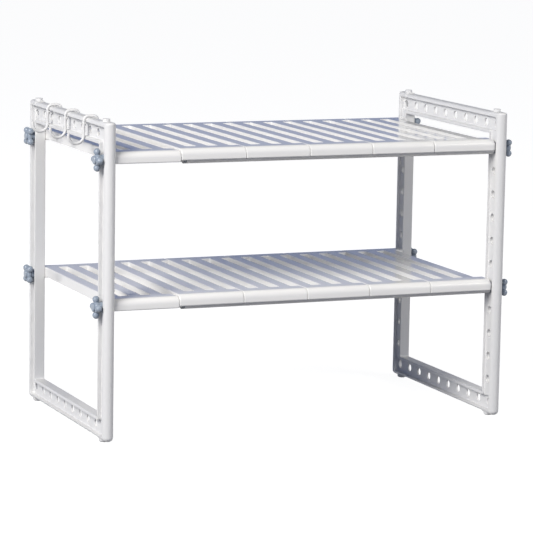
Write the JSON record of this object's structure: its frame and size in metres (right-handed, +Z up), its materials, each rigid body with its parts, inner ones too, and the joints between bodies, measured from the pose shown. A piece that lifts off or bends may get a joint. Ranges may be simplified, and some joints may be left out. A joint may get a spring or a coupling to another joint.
{
  "type": "two-tier cabinet organizer",
  "caption": "Free-standing expandable two-tier shelf with perforated side frames, telescopic tubes, lift-off slatted panels, star knobs and hooks over one top rail.",
  "frame": {"origin": "on the floor under the middle of the whole object, hooks and knobs included", "axes": "+X to the right along the tubes, +Y from the front to the back, +Z up"},
  "size_m": [0.5744, 0.3044, 0.3974],
  "materials": {
    "white_plastic": "satin gloss moulding",
    "blue_grey_plastic": "satin moulding",
    "tube_paint": "pale grey powder coat",
    "grey_plastic": "plain",
    "steel": "zinc plated"
  },
  "bodies": {
    "left_side": {"left_frame": "white_plastic", "upper_front_inner_tube": "tube_paint", "upper_front_left_plug": "grey_plastic", "upper_front_glide": "grey_plastic", "upper_back_inner_tube": "tube_paint", "upper_back_left_plug": "grey_plastic", "upper_back_glide": "grey_plastic", "lower_front_inner_tube": "tube_paint", "lower_front_left_plug": "grey_plastic", "lower_front_glide": "grey_plastic", "lower_back_inner_tube": "tube_paint", "lower_back_left_plug": "grey_plastic", "lower_back_glide": "grey_plastic"},
    "right_side": {"right_frame": "white_plastic", "upper_front_outer_tube": "tube_paint", "upper_front_right_plug": "grey_plastic", "upper_front_guide_bush": "grey_plastic", "upper_back_outer_tube": "tube_paint", "upper_back_right_plug": "grey_plastic", "upper_back_guide_bush": "grey_plastic", "lower_front_outer_tube": "tube_paint", "lower_front_right_plug": "grey_plastic", "lower_front_guide_bush": "grey_plastic", "lower_back_outer_tube": "tube_paint", "lower_back_right_plug": "grey_plastic", "lower_back_guide_bush": "grey_plastic"},
    "upper_front_left_screw": {"upper_front_left_knob": "blue_grey_plastic", "upper_front_left_stud": "steel"},
    "upper_front_right_screw": {"upper_front_right_knob": "blue_grey_plastic", "upper_front_right_stud": "steel"},
    "upper_back_left_screw": {"upper_back_left_knob": "blue_grey_plastic", "upper_back_left_stud": "steel"},
    "upper_back_right_screw": {"upper_back_right_knob": "blue_grey_plastic", "upper_back_right_stud": "steel"},
    "upper_panel_1": {"upper_panel_1": "white_plastic"},
    "upper_panel_2": {"upper_panel_2": "white_plastic"},
    "upper_panel_3": {"upper_panel_3": "white_plastic"},
    "upper_panel_4": {"upper_panel_4": "white_plastic"},
    "upper_panel_5": {"upper_panel_5": "white_plastic"},
    "upper_panel_6": {"upper_panel_6": "white_plastic"},
    "lower_front_left_screw": {"lower_front_left_knob": "blue_grey_plastic", "lower_front_left_stud": "steel"},
    "lower_front_right_screw": {"lower_front_right_knob": "blue_grey_plastic", "lower_front_right_stud": "steel"},
    "lower_back_left_screw": {"lower_back_left_knob": "blue_grey_plastic", "lower_back_left_stud": "steel"},
    "lower_back_right_screw": {"lower_back_right_knob": "blue_grey_plastic", "lower_back_right_stud": "steel"},
    "lower_panel_1": {"lower_panel_1": "white_plastic"},
    "lower_panel_2": {"lower_panel_2": "white_plastic"},
    "lower_panel_3": {"lower_panel_3": "white_plastic"},
    "lower_panel_4": {"lower_panel_4": "white_plastic"},
    "lower_panel_5": {"lower_panel_5": "white_plastic"},
    "lower_panel_6": {"lower_panel_6": "white_plastic"},
    "front_hook": {"front_hook": "white_plastic"},
    "middle_hook": {"middle_hook": "white_plastic"},
    "back_hook": {"back_hook": "white_plastic"}
  },
  "joints": [
    {"name": "width_slide", "type": "slide", "parent": "left_side", "child": "right_side", "axis": [1, 0, 0], "range_m": [0, 0.22]},
    {"name": "upper_front_left_screw_turn", "type": "hinge", "parent": "left_side", "child": "upper_front_left_screw", "pos_m": [-0.2567, -0.135, 0.348], "axis": [-1, 0, 0], "continuous": true},
    {"name": "upper_front_right_screw_turn", "type": "hinge", "parent": "right_side", "child": "upper_front_right_screw", "pos_m": [0.2697, -0.135, 0.348], "axis": [1, 0, 0], "continuous": true},
    {"name": "upper_back_left_screw_turn", "type": "hinge", "parent": "left_side", "child": "upper_back_left_screw", "pos_m": [-0.2567, 0.135, 0.348], "axis": [-1, 0, 0], "continuous": true},
    {"name": "upper_back_right_screw_turn", "type": "hinge", "parent": "right_side", "child": "upper_back_right_screw", "pos_m": [0.2697, 0.135, 0.348], "axis": [1, 0, 0], "continuous": true},
    {"name": "upper_panel_1_lift", "type": "slide", "parent": "left_side", "child": "upper_panel_1", "axis": [0, 0, 1], "range_m": [0, 0.02]},
    {"name": "upper_panel_2_lift", "type": "slide", "parent": "right_side", "child": "upper_panel_2", "axis": [0, 0, 1], "range_m": [0, 0.02]},
    {"name": "upper_panel_3_lift", "type": "slide", "parent": "right_side", "child": "upper_panel_3", "axis": [0, 0, 1], "range_m": [0, 0.02]},
    {"name": "upper_panel_4_lift", "type": "slide", "parent": "right_side", "child": "upper_panel_4", "axis": [0, 0, 1], "range_m": [0, 0.02]},
    {"name": "upper_panel_5_lift", "type": "slide", "parent": "right_side", "child": "upper_panel_5", "axis": [0, 0, 1], "range_m": [0, 0.02]},
    {"name": "upper_panel_6_lift", "type": "slide", "parent": "right_side", "child": "upper_panel_6", "axis": [0, 0, 1], "range_m": [0, 0.02]},
    {"name": "lower_front_left_screw_turn", "type": "hinge", "parent": "left_side", "child": "lower_front_left_screw", "pos_m": [-0.2567, -0.135, 0.168], "axis": [-1, 0, 0], "continuous": true},
    {"name": "lower_front_right_screw_turn", "type": "hinge", "parent": "right_side", "child": "lower_front_right_screw", "pos_m": [0.2697, -0.135, 0.168], "axis": [1, 0, 0], "continuous": true},
    {"name": "lower_back_left_screw_turn", "type": "hinge", "parent": "left_side", "child": "lower_back_left_screw", "pos_m": [-0.2567, 0.135, 0.168], "axis": [-1, 0, 0], "continuous": true},
    {"name": "lower_back_right_screw_turn", "type": "hinge", "parent": "right_side", "child": "lower_back_right_screw", "pos_m": [0.2697, 0.135, 0.168], "axis": [1, 0, 0], "continuous": true},
    {"name": "lower_panel_1_lift", "type": "slide", "parent": "left_side", "child": "lower_panel_1", "axis": [0, 0, 1], "range_m": [0, 0.02]},
    {"name": "lower_panel_2_lift", "type": "slide", "parent": "right_side", "child": "lower_panel_2", "axis": [0, 0, 1], "range_m": [0, 0.02]},
    {"name": "lower_panel_3_lift", "type": "slide", "parent": "right_side", "child": "lower_panel_3", "axis": [0, 0, 1], "range_m": [0, 0.02]},
    {"name": "lower_panel_4_lift", "type": "slide", "parent": "right_side", "child": "lower_panel_4", "axis": [0, 0, 1], "range_m": [0, 0.02]},
    {"name": "lower_panel_5_lift", "type": "slide", "parent": "right_side", "child": "lower_panel_5", "axis": [0, 0, 1], "range_m": [0, 0.02]},
    {"name": "lower_panel_6_lift", "type": "slide", "parent": "right_side", "child": "lower_panel_6", "axis": [0, 0, 1], "range_m": [0, 0.02]},
    {"name": "front_hook_slide", "type": "slide", "parent": "left_side", "child": "front_hook", "axis": [0, 1, 0], "range_m": [-0.03, 0.03]},
    {"name": "middle_hook_slide", "type": "slide", "parent": "left_side", "child": "middle_hook", "axis": [0, 1, 0], "range_m": [-0.03, 0.03]},
    {"name": "back_hook_slide", "type": "slide", "parent": "left_side", "child": "back_hook", "axis": [0, 1, 0], "range_m": [-0.03, 0.03]}
  ]
}
